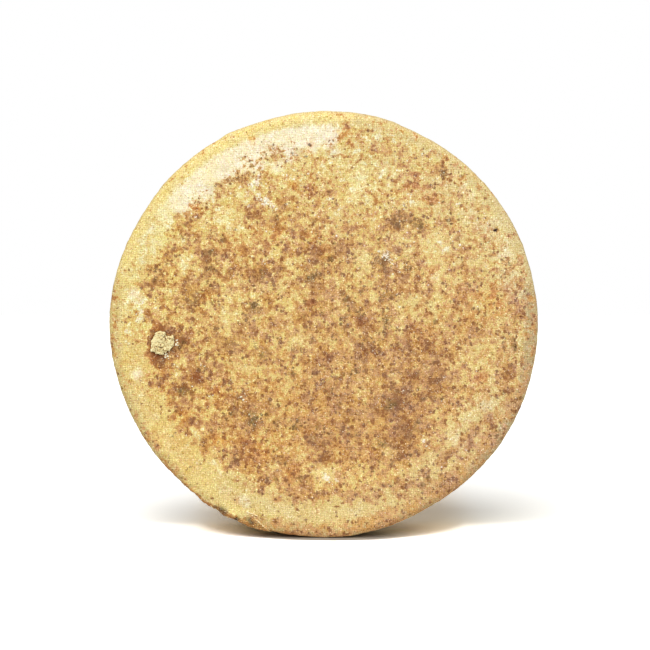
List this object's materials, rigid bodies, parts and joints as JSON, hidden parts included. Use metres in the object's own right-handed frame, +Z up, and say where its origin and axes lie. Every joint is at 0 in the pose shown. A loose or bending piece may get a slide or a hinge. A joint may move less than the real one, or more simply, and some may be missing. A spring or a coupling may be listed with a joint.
{
  "type": "cheese wheel",
  "caption": "Whole round cheese standing on its edge: cloth-marked natural rind, rounded edges, a ragged crumbly lip, and a sampling plug pressed back into the front face.",
  "frame": {"origin": "on the floor, under the middle of the wheel", "axes": "+Z up, +Y along the wheel's own axis from the front face to the back face, +X to the right of the front face"},
  "size_m": [0.3216, 0.0816, 0.3185],
  "materials": {
    "rind": "dry natural rind, matte, mottled straw and brown",
    "curd": "dried curd, matte, pale cream"
  },
  "bodies": {
    "root": {"cheese_wheel": "rind", "curd_plug": "curd"}
  },
  "joints": []
}
